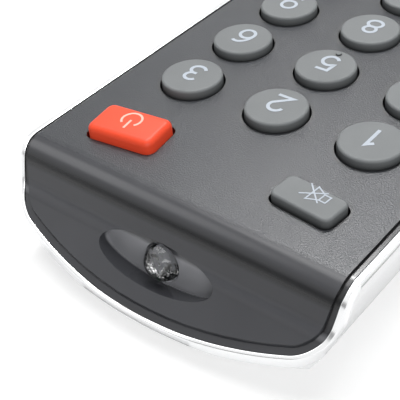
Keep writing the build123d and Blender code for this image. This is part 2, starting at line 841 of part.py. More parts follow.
# Case screws: four, up through the bottom shell's posts into the top shell's bosses
with BuildPart() as case_screws:
    with BuildSketch(Plane.XY.offset(screw_sink)):
        with Locations(*bosses):
            Circle(screw_head_radius)
    extrude(amount=-screw_head_height)
    with BuildSketch(Plane.XY.offset(screw_sink)):
        with Locations(*bosses):
            Circle(screw_radius)
    extrude(amount=screw_length)
    with BuildSketch(Plane.XY.offset(screw_sink - screw_head_height)):
        with Locations(*bosses):
            Rectangle(2 * screw_head_radius * 0.6, screw_slot)
            Rectangle(screw_slot, 2 * screw_head_radius * 0.6)
    extrude(amount=screw_head_height / 2, mode=Mode.SUBTRACT)
pieces["case_screws"] = case_screws


# Keys: each has a cap, a collar that keeps it under the face, and a plunger over the board
def make_key(kind, x, y, turn):
    place = Location((x, y, 0), (0, 0, turn))
    key_top = face_height + (power_key_proud if kind == "power" else key_proud)
    collar_top = face_height - face_wall - collar_gap
    collar_bottom = collar_top - collar_height
    with BuildPart() as key:
        with BuildSketch(Plane.XY.offset(collar_top)):
            with Locations(place):
                add(key_outline(kind, 0))
        extrude(amount=key_top - collar_top)
        fillet(key.edges().group_by(Axis.Z)[-1], key_round)
        if kind == "dotted":
            with BuildSketch(Plane.XY.offset(key_top - dot_height)):
                with Locations((x, y - dot_behind)):
                    Circle(dot_radius)
            extrude(amount=2 * dot_height)
            fillet(key.edges().group_by(Axis.Z)[-1], dot_height / 2)
        with BuildSketch(Plane.XY.offset(collar_top)):
            with Locations(place):
                add(key_outline(kind, collar_width))
        extrude(amount=-collar_height)
        with BuildSketch(Plane.XY.offset(collar_bottom)):
            with Locations(place):
                middle = (petal_inner + petal_outer) / 2 if kind == "petal" else 0
                with Locations((middle, 0)):
                    Circle(plunger_radius)
        extrude(amount=board_top + key_travel + press_gap - collar_bottom)
    return key


for name, kind, x, y, turn in keys:
    pieces[name] = make_key(kind, x, y, turn)

os.makedirs("parts", exist_ok=True)
for name, piece in pieces.items():
    piece.part.label = name
    export_step(piece.part, f"parts/{name}.step")
print("pieces:", len(pieces), "files")
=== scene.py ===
import json
import math

import bmesh
import bpy
from mathutils import Matrix, Vector


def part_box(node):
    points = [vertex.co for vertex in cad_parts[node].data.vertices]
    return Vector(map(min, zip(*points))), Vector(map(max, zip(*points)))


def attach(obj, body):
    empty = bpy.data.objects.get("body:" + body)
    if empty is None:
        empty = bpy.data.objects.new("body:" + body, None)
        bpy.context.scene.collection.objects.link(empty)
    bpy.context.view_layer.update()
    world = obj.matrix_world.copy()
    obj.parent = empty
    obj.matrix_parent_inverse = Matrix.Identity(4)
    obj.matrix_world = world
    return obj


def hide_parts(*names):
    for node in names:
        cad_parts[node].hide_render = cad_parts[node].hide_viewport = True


# A television remote control, seen from its nose, lying on a white table.
# Blender works in metres. Sizes below are written in millimetres and turned into metres by MM.
MM = 0.001

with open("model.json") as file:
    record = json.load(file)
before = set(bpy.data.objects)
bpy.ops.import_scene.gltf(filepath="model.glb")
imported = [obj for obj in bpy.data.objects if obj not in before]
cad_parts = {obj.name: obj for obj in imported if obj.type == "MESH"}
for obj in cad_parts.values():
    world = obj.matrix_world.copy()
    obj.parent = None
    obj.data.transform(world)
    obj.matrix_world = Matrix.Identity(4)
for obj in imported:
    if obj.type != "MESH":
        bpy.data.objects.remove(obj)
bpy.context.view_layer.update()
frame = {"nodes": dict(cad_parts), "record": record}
nodes = frame["nodes"]
scene = bpy.context.scene
scene.view_settings.view_transform = "Standard"

# Places on the object, as in the CAD source
NOSE_Y = 95.0
ROLL_Y = 84.5
FACE_Z = 14.4
KEY_Z = 15.55
POWER_Z = 16.0
DIGIT_Y = 64.9
ROW_PITCH = 11.4
COLUMN_PITCH = 14.0
LEVEL_Y = DIGIT_Y - 46.0
PAD_Y = DIGIT_Y - 76.0
PETAL_MIDDLE = 9.4
CORNER_X = 17.0
CORNER_Y = 8.5

# The outline of the case, the face profile and the power key, as in the CAD source
HALF_WIDTH = 25.0
END_BOW = 70.0
SIDE_ROUND = 12.0
ROLL_RADIUS = 3.5
STEEP_ANGLE = math.radians(70.0)
STEEP_LENGTH = 2.4
HOLLOW_RADIUS = 5.0
SHALLOW_ANGLE = math.radians(42.0)
RIM = {"side": 0.8, "end": 0.4, "corner": 6.4, "border_corner": 5.6, "drop": 0.2,
       "thickness": 1.0, "edge": 0.14}
POWER_KEY = {"centre": (13.3, 78.3, 0.0), "turn": 7.5, "half_size": (5.0, 3.0), "corner": 1.2,
             "edge": 0.85, "collar": 0.7, "collar_top": 12.5, "collar_foot": 12.1, "stem": 1.7,
             "foot": 12.0}

# Where the face's polish ends and where its painted shade and painted light lie, as heights above
# the table. A point of the slope has
# SLOPE_SUM as the sum of its y and its height divided by the tangent of the slope.
POLISH_Z = 14.32
ROLL_FOOT_PAINTED_SHADE_Z = (11.3, 11.9, 12.7, 13.6)
HOLLOW_PAINTED_LIGHT_Z = (8.0, 8.8, 9.0, 9.8)
SCOOP_TOP_Z = 9.8
SCOOP_WALL_Y = 89.1
SLOPE_SUM = 98.7


def make_camera():
    """The camera at the photograph's angle, close over the nose."""
    right = Vector((-0.7735, -0.62815, -0.08444)).normalized()
    back = right.cross(Vector((0.34989, -0.5343, 0.76948))).normalized()
    up = back.cross(right)
    lens = bpy.data.cameras.new("camera")
    lens.sensor_width = 36.0
    lens.lens = 86.3
    lens.clip_start = 0.005
    lens.clip_end = 20.0
    camera = bpy.data.objects.new("camera", lens)
    turn = Matrix((right, up, back)).transposed().to_4x4()
    camera.matrix_world = Matrix.Translation(Vector((-61.38, 146.73, 84.63)) * MM) @ turn
    scene.collection.objects.link(camera)
    scene.camera = camera


# Materials
def linear(r, g, b):
    """A colour given in the 0 to 255 of a screen, as the renderer wants it."""
    def channel(c):
        c /= 255.0
        return c / 12.92 if c <= 0.04045 else ((c + 0.055) / 1.055) ** 2.4
    return (channel(r), channel(g), channel(b), 1.0)


class Shades:
    """One node material, built up socket by socket."""

    def __init__(self, name):
        self.material = bpy.data.materials.new(name)
        self.material.use_nodes = True
        self.tree = self.material.node_tree
        self.tree.nodes.clear()
        self.shader = self.add("ShaderNodeBsdfPrincipled")
        self.output = self.add("ShaderNodeOutputMaterial")
        self.join(self.shader, "BSDF", self.output, "Surface")
        self.place = self.add("ShaderNodeTexCoord")

    def add(self, kind, **values):
        node = self.tree.nodes.new(kind)
        for key, value in values.items():
            setattr(node, key, value)
        return node

    def join(self, a, out, b, into):
        self.tree.links.new(a.outputs[out], b.inputs[into])

    def noise(self, scale, detail=3.0, rough=0.5):
        """Noise through the solid, scale in features per metre."""
        node = self.add("ShaderNodeTexNoise")
        node.inputs["Scale"].default_value = scale
        node.inputs["Detail"].default_value = detail
        node.inputs["Roughness"].default_value = rough
        self.join(self.place, "Object", node, "Vector")
        return node

    def spread(self, source, out, low, high, from_low=0.3, from_high=0.7):
        """Maps a value onto a range."""
        node = self.add("ShaderNodeMapRange")
        node.inputs["From Min"].default_value = from_low
        node.inputs["From Max"].default_value = from_high
        node.inputs["To Min"].default_value = low
        node.inputs["To Max"].default_value = high
        self.join(source, out, node, "Value")
        return node

    def mix(self, factor, out, colour_a, colour_b):
        """Two colours mixed by a value, where a colour is a tuple or a (node, socket) pair."""
        node = self.add("ShaderNodeMix", data_type="RGBA")
        self.join(factor, out, node, "Factor")
        for colour, socket in ((colour_a, node.inputs[6]), (colour_b, node.inputs[7])):
            if isinstance(colour[0], bpy.types.Node):
                self.tree.links.new(colour[0].outputs[colour[1]], socket)
            else:
                socket.default_value = colour
        return (node, 2)

    def math(self, kind, a, out, b):
        """A sum on a socket, where b is a number or a (node, socket) pair."""
        node = self.add("ShaderNodeMath", operation=kind)
        self.join(a, out, node, 0)
        if isinstance(b, tuple):
            self.tree.links.new(b[0].outputs[b[1]], node.inputs[1])
        else:
            node.inputs[1].default_value = b
        return node

    def colour(self, source):
        self.tree.links.new(source[0].outputs[source[1]], self.shader.inputs["Base Color"])

    def rough(self, node, out="Result"):
        self.join(node, out, self.shader, "Roughness")

    def bump(self, node, out, depth):
        """Bump from a height value, depth in millimetres."""
        bump = self.add("ShaderNodeBump")
        bump.inputs["Strength"].default_value = 1.0
        bump.inputs["Distance"].default_value = depth * MM
        self.join(node, out, bump, "Height")
        self.join(bump, "Normal", self.shader, "Normal")

    def axes(self):
        """The place on the object, split into X, Y and Z."""
        node = self.add("ShaderNodeSeparateXYZ")
        self.join(self.place, "Object", node, "Vector")
        return node

    def band(self, axes, heights):
        """A value that rises from 0 to 1 over the first two heights and falls over the last."""
        rise, full, fade, end = (z * MM for z in heights)
        return self.math("MULTIPLY", self.spread(axes, "Z", 0.0, 1.0, rise, full), "Result",
                         (self.spread(axes, "Z", 1.0, 0.0, fade, end), 0))

    def painted_occlusion_shade(self, distance, low, high, dark, plain):
        """Painted shade: a colour that darkens where other surfaces stand within a distance in
        millimetres.
        """
        node = self.add("ShaderNodeAmbientOcclusion", samples=8)
        node.inputs["Distance"].default_value = distance * MM
        return self.mix(self.spread(node, "AO", 0.0, 1.0, low, high), "Result", dark, plain)

    def current_colour(self):
        return (self.shader.inputs["Base Color"].links[0].from_node, 2)

    def set(self, **values):
        for key, value in values.items():
            self.shader.inputs[key.replace("_", " ")].default_value = value


def moulded(name, colour, rough, grain_depth, specular=0.5, **more):
    """Moulded plastic or rubber: faint mottling, uneven gloss and a fine eroded grain."""
    s = Shades(name)
    broad = s.noise(90.0, 4.0)
    dark = tuple(c * 0.94 for c in colour[:3]) + (1.0,)
    light = tuple(min(1.0, c * 1.06) for c in colour[:3]) + (1.0,)
    s.colour(s.mix(s.spread(broad, "Fac", 0.0, 1.0), "Result", dark, light))
    smudge = s.noise(260.0, 5.0, 0.6)
    s.rough(s.spread(smudge, "Fac", rough[0], rough[1]))
    s.bump(s.noise(3500.0, 2.0, 0.6), "Fac", grain_depth)
    s.shader.inputs["Specular IOR Level"].default_value = specular
    s.set(**more)
    return s


def face_material():
    """Charcoal plastic: fine spark grain on the flat face, polished from the roll to the nose, with
    painted shade at the foot of the roll and in creases, and painted light in the hollow and on the
    scoop's back wall.
    """
    s = Shades("charcoal_face")
    axes = s.axes()
    grained = s.spread(axes, "Z", 0.0, 1.0, (POLISH_Z - 0.06) * MM, (POLISH_Z + 0.06) * MM)
    cloud = s.spread(s.noise(60.0, 4.0), "Fac", 0.0, 1.0)
    polished = s.mix(cloud, "Result", linear(54, 55, 59), linear(60, 61, 65))
    rough = s.mix(cloud, "Result", linear(22, 26, 33), linear(27, 31, 38))
    plastic = s.mix(grained, "Result", polished, rough)
    # Painted shade: a darker band at the foot of the roll.
    plastic = s.mix(s.band(axes, ROLL_FOOT_PAINTED_SHADE_Z), 0, plastic, linear(32, 33, 35))
    # Painted light: a lighter band across the hollow.
    plastic = s.mix(s.band(axes, HOLLOW_PAINTED_LIGHT_Z), 0, plastic, linear(76, 77, 81))
    # Painted shade: the face darkens in creases, on the ledge and around the key holes.
    crease_painted_shade = s.painted_occlusion_shade(0.9, 0.74, 0.94, linear(16, 16, 18), plastic)

    # Painted light: the scoop's back wall is coloured lighter, and inside the scoop the painted
    # crease shade is left out.
    along = s.math("ADD", s.math("MULTIPLY", axes, "Z", 1.0 / math.tan(SHALLOW_ANGLE)), 0,
                   (axes, "Y"))
    deep = s.spread(along, 0, 1.0, 0.0, (SLOPE_SUM - 0.8) * MM, (SLOPE_SUM - 0.3) * MM)
    in_scoop = s.math("MULTIPLY", s.math("LESS_THAN", axes, "Z", SCOOP_TOP_Z * MM), 0, (deep, 0))
    on_wall = s.spread(axes, "Y", 1.0, 0.0, SCOOP_WALL_Y * MM, (SCOOP_WALL_Y + 0.4) * MM)
    scoop_painted_light = s.mix(on_wall, "Result", linear(56, 57, 61), linear(144, 145, 149))
    s.colour(s.mix(in_scoop, 0, crease_painted_shade, scoop_painted_light))

    uneven = s.spread(s.noise(240.0, 5.0, 0.6), "Fac", -0.03, 0.03)
    gloss = s.spread(grained, "Result", 0.2, 0.32, 0.0, 1.0)
    s.rough(s.math("ADD", gloss, "Result", (uneven, 0)), 0)
    depth = s.spread(grained, "Result", 0.03, 1.0, 0.0, 1.0)
    s.bump(s.math("MULTIPLY", s.noise(5200.0, 2.0, 0.6), "Fac", (depth, 0)), 0, 0.045)
    s.shader.inputs["Specular IOR Level"].default_value = 0.5
    return s.material


def key_material():
    """Grey key rubber, with painted shade where its sides stand close to the face."""
    s = moulded("key_grey", linear(112, 115, 116), (0.5, 0.6), 0.01, specular=0.3)
    # Painted shade: darker low on the key sides, near the face.
    s.colour(s.painted_occlusion_shade(1.2, 0.4, 0.9, linear(52, 54, 55), s.current_colour()))
    return s.material


def chrome_material():
    """Bright plated plastic with a slight haze and very shallow waves."""
    s = Shades("chrome_trim")
    s.set(Metallic=1.0)
    haze = s.noise(300.0, 4.0)
    s.colour(s.mix(s.spread(haze, "Fac", 0.0, 1.0), "Result", (0.86, 0.87, 0.88, 1.0),
                   (0.93, 0.935, 0.94, 1.0)))
    s.rough(s.spread(s.noise(500.0, 5.0), "Fac", 0.12, 0.2))
    s.bump(s.noise(350.0, 2.0), "Fac", 0.02)
    return s.material


def silver_material():
    """Silver paint: fine metal flakes under a thin clear coat."""
    s = Shades("silver_case")
    s.set(Metallic=0.75, Coat_Weight=0.35, Coat_Roughness=0.12)
    flakes = s.add("ShaderNodeTexVoronoi")
    flakes.inputs["Scale"].default_value = 9000.0
    s.join(s.place, "Object", flakes, "Vector")
    s.colour(s.mix(flakes, "Distance", (0.82, 0.825, 0.83, 1.0), (0.9, 0.905, 0.91, 1.0)))
    s.rough(s.spread(s.noise(200.0, 5.0), "Fac", 0.28, 0.38))
    s.bump(s.noise(1800.0, 3.0), "Fac", 0.006)
    return s.material


def lamp_material():
    """Clear epoxy with flow lines frozen into its dome."""
    s = Shades("clear_lamp")
    s.set(IOR=1.55, Transmission_Weight=1.0)
    s.colour(s.mix(s.noise(400.0, 2.0), "Fac", (0.93, 0.94, 0.95, 1.0), (0.99, 0.99, 1.0, 1.0)))
    s.rough(s.spread(s.noise(900.0, 3.0), "Fac", 0.01, 0.06))
    s.bump(s.noise(900.0, 1.0, 0.3), "Fac", 0.25)
    return s.material


def metal(name, colour, rough):
    """Bare metal with drawn streaks along Y."""
    s = Shades(name)
    s.set(Metallic=1.0)
    stretch = s.add("ShaderNodeMapping")
    stretch.inputs["Scale"].default_value = (1.0, 0.12, 1.0)
    s.join(s.place, "Object", stretch, "Vector")
    streaks = s.add("ShaderNodeTexNoise")
    streaks.inputs["Scale"].default_value = 4000.0
    s.join(stretch, "Vector", streaks, "Vector")
    dull = tuple(0.85 * c for c in colour[:3]) + (1.0,)
    s.colour(s.mix(streaks, "Fac", dull, colour))
    s.rough(s.spread(streaks, "Fac", rough[0], rough[1]))
    s.bump(streaks, "Fac", 0.004)
    return s


def cell_material(name, towards_nose):
    """An alkaline cell: dark wrap, a warm band at the positive end and bare steel ends."""
    s = metal(name, (0.72, 0.72, 0.73, 1.0), (0.22, 0.34))
    axes = s.axes()
    low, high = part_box(name)
    nub, foot, band = 1.6 * MM, 0.6 * MM, 15.0 * MM
    if towards_nose:
        wrap_start, wrap_end = low.y + foot, high.y - nub
        banded = s.math("GREATER_THAN", axes, "Y", high.y - band)
    else:
        wrap_start, wrap_end = low.y + nub, high.y - foot
        banded = s.math("LESS_THAN", axes, "Y", low.y + band)
    below = s.math("LESS_THAN", axes, "Y", wrap_end)
    wrapped = s.math("MULTIPLY", s.math("GREATER_THAN", axes, "Y", wrap_start), 0, (below, 0))
    ink = s.mix(banded, 0, linear(38, 40, 46), linear(196, 120, 52))
    s.colour(s.mix(wrapped, 0, s.current_colour(), ink))
    s.join(s.math("SUBTRACT", s.math("MULTIPLY", wrapped, 0, -0.75), 0, -1.0), 0, s.shader,
           "Metallic")
    return s.material


def board_material():
    """Green solder mask over copper tracks."""
    s = Shades("board")
    tracks = s.add("ShaderNodeTexBrick")
    tracks.inputs["Scale"].default_value = 260.0
    tracks.inputs["Mortar Size"].default_value = 0.06
    tracks.inputs["Color1"].default_value = linear(24, 84, 52)
    tracks.inputs["Color2"].default_value = linear(28, 92, 58)
    tracks.inputs["Mortar"].default_value = linear(52, 122, 74)
    s.join(s.place, "Object", tracks, "Vector")
    s.colour((tracks, 0))
    s.rough(s.spread(s.noise(400.0), "Fac", 0.25, 0.4))
    s.bump(tracks, "Fac", 0.03)
    return s.material


def ink_material(name, colour):
    """Printed ink with slightly worn, uneven cover."""
    s = Shades(name)
    worn = tuple(c * 0.88 for c in colour[:3]) + (1.0,)
    s.colour(s.mix(s.spread(s.noise(2500.0, 4.0, 0.7), "Fac", 0.0, 1.0), "Result", worn, colour))
    s.rough(s.spread(s.noise(1500.0), "Fac", 0.5, 0.65))
    s.bump(s.noise(6000.0, 2.0), "Fac", 0.004)
    return s.material


def wear(node_name, material):
    """Gives a CAD node its material."""
    slots = nodes[node_name].data.materials
    slots.clear()
    slots.append(material)


body_names = {member: body for body, members in frame["record"]["behaviour"]["bodies"].items()
              for member in members}


def loft(name, loops, material, closed):
    """A skin through loops of points in metres.
    A closed skin joins its last loop to its first, and an open one has its two ends capped."""
    count = len(loops[0])
    points = [point for loop in loops for point in loop]
    faces = []
    if not closed:
        faces = [tuple(range(count)), tuple(reversed(range(len(points) - count, len(points))))]
    for i in range(len(loops) if closed else len(loops) - 1):
        j = (i + 1) % len(loops)
        for k in range(count):
            m = (k + 1) % count
            face = (i * count + k, i * count + m, j * count + m, j * count + k)
            faces.append(face if closed else (face[0], face[3], face[2], face[1]))
    mesh = bpy.data.meshes.new(name)
    mesh.from_pydata(points, [], faces)
    mesh.shade_smooth()
    mesh.set_sharp_from_angle(angle=math.radians(40.0))
    mesh.materials.append(material)
    skin = bpy.data.objects.new(name, mesh)
    scene.collection.objects.link(skin)
    return skin


# The chrome trim, drawn anew with smooth runs and softened edges
LIP_BLEND = 0.3


def profile_height(y, depth):
    """The height of the face profile at y, sunk square to itself by depth."""
    flat = FACE_Z - depth
    if y <= ROLL_Y:
        return flat
    roll = ROLL_RADIUS - depth
    steep_y = ROLL_Y + roll * math.sin(STEEP_ANGLE)
    if y <= steep_y:
        return flat - roll + math.sqrt(roll ** 2 - (y - ROLL_Y) ** 2)
    steep_z = flat - roll * (1.0 - math.cos(STEEP_ANGLE))
    foot_y = steep_y + STEEP_LENGTH * math.cos(STEEP_ANGLE)
    foot_z = steep_z - STEEP_LENGTH * math.sin(STEEP_ANGLE)
    if y <= foot_y:
        return steep_z - (y - steep_y) * math.tan(STEEP_ANGLE)
    hollow = HOLLOW_RADIUS + depth
    centre_y = foot_y + hollow * math.sin(STEEP_ANGLE)
    centre_z = foot_z + hollow * math.cos(STEEP_ANGLE)
    slope_y = centre_y - hollow * math.sin(SHALLOW_ANGLE)
    if y <= slope_y:
        return centre_z - math.sqrt(hollow ** 2 - (y - centre_y) ** 2)
    lip_y = NOSE_Y - RIM["end"] - depth * math.tan(SHALLOW_ANGLE / 2)
    slope_z = centre_z - hollow * math.cos(SHALLOW_ANGLE)
    past = y - lip_y
    if past > -LIP_BLEND:
        y = lip_y - (LIP_BLEND - min(past, LIP_BLEND)) ** 2 / (4 * LIP_BLEND)
    return slope_z - (y - slope_y) * math.tan(SHALLOW_ANGLE)


def corner_centre(half, end, corner):
    """The centre of the round corner between a straight side and the bowed end."""
    rise = math.sqrt((END_BOW - corner) ** 2 - (half - corner) ** 2)
    return half - corner, end - END_BOW + rise


def within_border(x, y):
    """Whether a point lies inside the inner edge of the trim."""
    half, end = HALF_WIDTH - RIM["side"], NOSE_Y - RIM["end"]
    corner = RIM["border_corner"]
    cx, cy = corner_centre(half, end, corner)
    x, y = abs(x), abs(y)
    if x > half or math.hypot(x, y - end + END_BOW) > END_BOW:
        return False
    turn = (x - cx) * (cy - end + END_BOW) - (y - cy) * cx
    if y > cy and turn > 0:
        return math.hypot(x - cx, y - cy) <= corner
    return True


def trim_stations():
    """Points round the outer edge with their inward directions, starting at mid nose."""
    corner = RIM["corner"]
    cx, cy = corner_centre(HALF_WIDTH, NOSE_Y, corner)
    meet = math.atan2(cx, cy - NOSE_Y + END_BOW)
    quarter = []
    for i in range(40):
        a = meet * i / 40
        quarter.append((END_BOW * math.sin(a), NOSE_Y - END_BOW + END_BOW * math.cos(a), a))
    for i in range(48):
        a = meet + (math.pi / 2 - meet) * i / 48
        quarter.append((cx + corner * math.sin(a), cy + corner * math.cos(a), a))
    straight = [cy - 0.25 * i for i in range(24)]
    straight += [cy - 6.0 - (cy - 6.0) * i / 16 for i in range(16)]
    quarter += [(HALF_WIDTH, y, math.pi / 2) for y in straight]
    back = [(x, -y, math.pi - a) for x, y, a in reversed(quarter)]
    half_way = quarter + [(HALF_WIDTH, 0.0, math.pi / 2)] + back
    other = [(-x, y, -a) for x, y, a in reversed(half_way[1:-1])]
    return [(x, y, -math.sin(a), -math.cos(a)) for x, y, a in half_way + other]


def trim_section(x, y, nx, ny):
    """The corners of the trim's section at one station, from the outer foot to the inner foot.
    The width across the trim is found by halving, since its two outlines have other corners."""
    near, far = 0.05, 2.0
    for _ in range(30):
        middle = (near + far) / 2
        if within_border(x + nx * middle, y + ny * middle):
            far = middle
        else:
            near = middle
    across, edge, top = far, RIM["edge"], RIM["drop"]
    low = top + RIM["thickness"]
    turns = [math.radians(t) for t in (0, 18, 36, 54, 72, 90)]
    rounded = [(edge * (1.0 - math.cos(t)), edge * (1.0 - math.sin(t))) for t in turns]
    foot_inset, foot_rise = 0.05, 0.06
    rows = [(foot_inset, low, 0.0), (0.0, low, -foot_rise)]
    rows += [(w, top, sunk) for w, sunk in rounded]
    rows += [(across * 0.5, top, 0.0)]
    rows += [(across - w, top, sunk) for w, sunk in reversed(rounded)]
    rows += [(across, low, 0.0)]
    section = []
    for w, depth, down in rows:
        px, py = x + nx * w, y + ny * w
        pz = profile_height(py, depth) - down
        if pz < SIDE_ROUND:
            most = HALF_WIDTH - SIDE_ROUND + math.sqrt(SIDE_ROUND ** 2 - (SIDE_ROUND - pz) ** 2)
            px = math.copysign(min(abs(px), most), px)
        section.append((px * MM, py * MM, pz * MM))
    return section


def make_trim(material):
    sections = [trim_section(*station) for station in trim_stations()]
    trim = loft("trim_ring", sections, material, True)
    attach(trim, body_names["chrome_trim"])
    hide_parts("chrome_trim")


# The power key, drawn anew with the soft full edges of moulded rubber
def rounded_loop(half_x, half_y, corner, steps=10):
    """Points round a rectangle with round corners."""
    points = []
    for quarter, (sx, sy) in enumerate(((1, 1), (-1, 1), (-1, -1), (1, -1))):
        for i in range(steps + 1):
            a = math.radians(90.0 * (quarter + i / steps))
            points.append((sx * (half_x - corner) + corner * math.cos(a),
                           sy * (half_y - corner) + corner * math.sin(a)))
    return points


def make_power_key(material):
    """Rings from the top of the key down its side, over the collar and down to the plunger."""
    place = Matrix.Translation(POWER_KEY["centre"]) @ Matrix.Rotation(
        math.radians(POWER_KEY["turn"]), 4, "Z")
    half_x, half_y = POWER_KEY["half_size"]
    corner, edge, stem = POWER_KEY["corner"], POWER_KEY["edge"], POWER_KEY["stem"]
    rings = []
    for t in range(0, 91, 10):
        inset = edge * (1.0 - math.sin(math.radians(t)))
        height = POWER_Z - edge * (1.0 - math.cos(math.radians(t)))
        rings.append((half_x - inset, half_y - inset, max(corner - inset, 0.2), height))
    collar_x, collar_y = half_x + POWER_KEY["collar"], half_y + POWER_KEY["collar"]
    rings.append((half_x, half_y, corner, POWER_KEY["collar_top"]))
    for height in (POWER_KEY["collar_top"], POWER_KEY["collar_foot"]):
        rings.append((collar_x, collar_y, corner + POWER_KEY["collar"], height))
    for height in (POWER_KEY["collar_foot"], POWER_KEY["foot"]):
        rings.append((stem, stem, stem * 0.999, height))
    loops = []
    for a, b, c, height in rings:
        spots = [place @ Vector((x, y, 0.0)) for x, y in rounded_loop(a, b, c)]
        loops.append([(spot.x * MM, spot.y * MM, height * MM) for spot in spots])
    key = loft("power_key_soft", loops, material, False)
    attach(key, body_names["power_key"])
    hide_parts("power_key")


# Stage: a white table, a pale room and soft light from above and behind
def sum_node(tree, operation, a, b, c=None):
    """A sum in a node tree, where each term is a socket or a number."""
    node = tree.nodes.new("ShaderNodeMath")
    node.operation = operation
    for socket, term in zip(node.inputs, (a, b, c)):
        if isinstance(term, bpy.types.NodeSocket):
            tree.links.new(term, socket)
        elif term is not None:
            socket.default_value = term
    return node.outputs[0]


def seen_directly(tree):
    """A value that is 1 for rays that show the surface itself, straight, mirrored or through."""
    rays = tree.nodes.new("ShaderNodeLightPath").outputs
    mirrored = sum_node(tree, "MAXIMUM", rays["Is Camera Ray"], rays["Is Glossy Ray"])
    return sum_node(tree, "MAXIMUM", mirrored, rays["Is Transmission Ray"])


def seen_by_camera(tree):
    return tree.nodes.new("ShaderNodeLightPath").outputs["Is Camera Ray"]


def make_table():
    """A plain white table top, a hair below the object."""
    half, below = 3.0, 0.02 * MM
    mesh = bpy.data.meshes.new("table")
    mesh.from_pydata([(-half, -half, 0), (half, -half, 0), (half, half, 0), (-half, half, 0)],
                     [], [(0, 1, 2, 3)])
    table = bpy.data.objects.new("table", mesh)
    scene.collection.objects.link(table)
    table.location.z = -below
    s = Shades("table_white")
    s.set(Base_Color=(0.62, 0.62, 0.62, 1.0), Roughness=0.6, Emission_Color=(1.0, 1.0, 1.0, 1.0))
    s.shader.inputs["Specular IOR Level"].default_value = 0.1
    glow = sum_node(s.tree, "MAXIMUM", sum_node(s.tree, "MULTIPLY", seen_by_camera(s.tree), 0.46),
                    sum_node(s.tree, "MULTIPLY", seen_directly(s.tree), 0.22))
    s.tree.links.new(glow, s.shader.inputs["Emission Strength"])
    mesh.materials.append(s.material)


def make_room():
    """A white room with one dim side, which shades the roll, and one bright card above it."""
    world = bpy.data.worlds.new("room")
    scene.world = world
    world.use_nodes = True
    tree = world.node_tree
    background = tree.nodes["Background"]
    background.inputs["Color"].default_value = (1.0, 1.0, 1.0, 1.0)
    place = tree.nodes.new("ShaderNodeTexCoord").outputs["Generated"]

    def round_patch(middle, outer, inner, value_outside, value_inside):
        """A value by direction; outer and inner are cosines of the angle from the middle."""
        along = tree.nodes.new("ShaderNodeVectorMath")
        along.operation = "DOT_PRODUCT"
        tree.links.new(place, along.inputs[0])
        along.inputs[1].default_value = Vector(middle).normalized()
        patch = tree.nodes.new("ShaderNodeMapRange")
        patch.interpolation_type = "SMOOTHSTEP"
        patch.inputs["From Min"].default_value = outer
        patch.inputs["From Max"].default_value = inner
        patch.inputs["To Min"].default_value = value_outside
        patch.inputs["To Max"].default_value = value_inside
        tree.links.new(along.outputs["Value"], patch.inputs["Value"])
        return patch.outputs["Result"]

    dim = round_patch((0.37, 0.93, -0.05), 0.88, 0.98, 1.0, 0.35)
    card = round_patch((0.64, 0.32, 0.70), 0.95, 0.995, 0.0, 1.8)
    room = sum_node(tree, "ADD", dim, card)
    seen = sum_node(tree, "MULTIPLY_ADD", seen_directly(tree), 0.75, 0.25)
    lit = sum_node(tree, "MULTIPLY", seen, room)
    strength = sum_node(tree, "MAXIMUM", lit, seen_by_camera(tree))
    tree.links.new(strength, background.inputs["Strength"])


def soft_light(name, place, target, size, power):
    """A rectangular lamp at a place, turned to a target, with sizes in metres."""
    data = bpy.data.lights.new(name, "AREA")
    data.shape = "RECTANGLE"
    data.size, data.size_y = size
    data.energy = power
    light = bpy.data.objects.new(name, data)
    spot = Vector(place)
    light.location = spot
    light.rotation_mode = "QUATERNION"
    light.rotation_quaternion = (Vector(target) - spot).to_track_quat("-Z", "Y")
    scene.collection.objects.link(light)


# Legends: raised ink strokes on the key tops. Each further stroke of a sign lies INK_STEP higher,
# so that no two tops lie in one plane where strokes cross.
INK_RISE = 0.03
INK_SINK = 0.02
INK_STEP = 0.002
STROKE = 0.48
FINE = 0.18


def arc(cx, cy, rx, ry, start, end, steps=24):
    """Points along an elliptic arc, angles in degrees."""
    turn = [math.radians(start + (end - start) * i / steps) for i in range(steps + 1)]
    return [(cx + rx * math.cos(t), cy + ry * math.sin(t)) for t in turn]


def ring(cx, cy, rx, ry, steps=40):
    return arc(cx, cy, rx, ry, 0, 360, steps)[:-1]


def stadium(half, height, steps=16):
    """A closed loop with straight sides and round ends."""
    straight = height - half
    top = arc(0, straight, half, half, 0, 180, steps)
    return top + arc(0, -straight, half, half, 180, 360, steps)


def stroke_sides(points, width, closed):
    """Left and right edge points of a stroke along points, with mitred corners."""
    n = len(points)
    left, right = [], []
    for i, point in enumerate(points):
        p = Vector(point)
        before = Vector(points[i - 1]) if i > 0 or closed else None
        after = Vector(points[(i + 1) % n]) if i < n - 1 or closed else None
        a = (p - before).normalized() if before is not None else (after - p).normalized()
        b = (after - p).normalized() if after is not None else a
        across = Vector((-(a + b).y, (a + b).x)).normalized()
        stretch = 1.0 / max(0.4, across.dot(Vector((-a.y, a.x))))
        left.append(p + across * (width / 2 * stretch))
        right.append(p - across * (width / 2 * stretch))
    return left, right


def add_stroke(bm, points, width, closed, z, place):
    """A flat raised ribbon along points, on the plane z."""
    left, right = stroke_sides(points, width, closed)
    rows = []
    for height in (z + INK_RISE, z - INK_SINK):
        rows.append([[bm.verts.new((*(place @ Vector((q.x, q.y, 0)) * MM).xy, height * MM))
                      for q in side] for side in (left, right)])
    (top_l, top_r), (low_l, low_r) = rows
    n = len(points)
    for i in range(n if closed else n - 1):
        j = (i + 1) % n
        bm.faces.new((top_l[i], top_r[i], top_r[j], top_l[j]))
        bm.faces.new((low_l[i], low_l[j], low_r[j], low_r[i]))
        bm.faces.new((top_l[i], top_l[j], low_l[j], low_l[i]))
        bm.faces.new((top_r[i], low_r[i], low_r[j], top_r[j]))
    if not closed:
        bm.faces.new((top_l[0], low_l[0], low_r[0], top_r[0]))
        bm.faces.new((top_l[-1], top_r[-1], low_r[-1], low_l[-1]))


